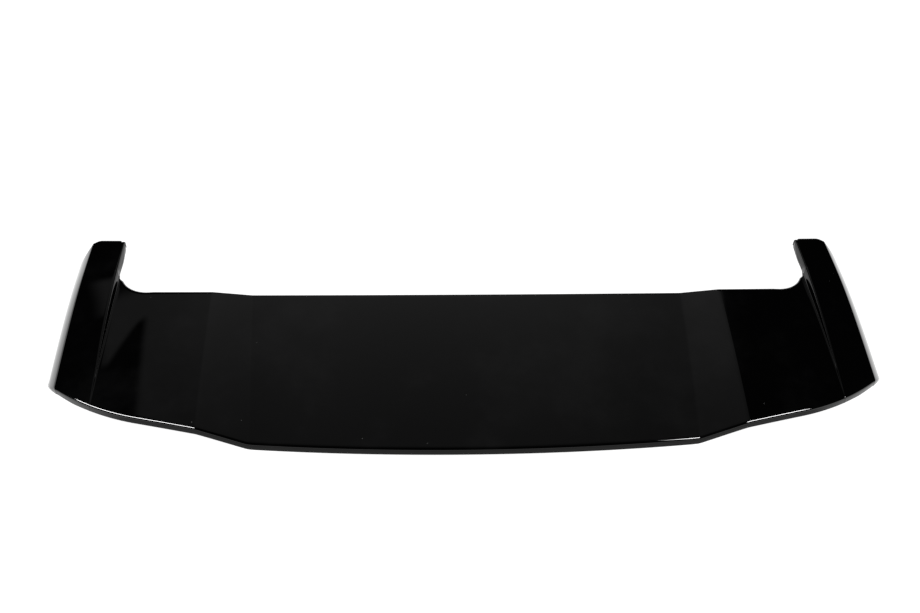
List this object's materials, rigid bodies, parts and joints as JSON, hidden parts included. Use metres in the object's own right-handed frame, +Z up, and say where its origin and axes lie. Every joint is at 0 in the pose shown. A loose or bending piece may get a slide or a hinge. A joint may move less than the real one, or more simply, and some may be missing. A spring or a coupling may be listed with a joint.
{
  "type": "car roof spoiler",
  "caption": "Moulded gloss black roof spoiler for a hatchback: a shallow crowned blade with a sunken middle and raised end fins that run forward as ears, hollow underneath.",
  "frame": {"origin": "middle of the bounding box on the resting plane, where the side rims and the lip touch", "axes": "+X across the car to its right, +Y forward, towards the ears, +Z up as mounted"},
  "size_m": [1.2228, 0.402, 0.0609],
  "materials": {
    "gloss_black": "gloss"
  },
  "bodies": {
    "root": {"spoiler_shell": "gloss_black"}
  },
  "joints": []
}
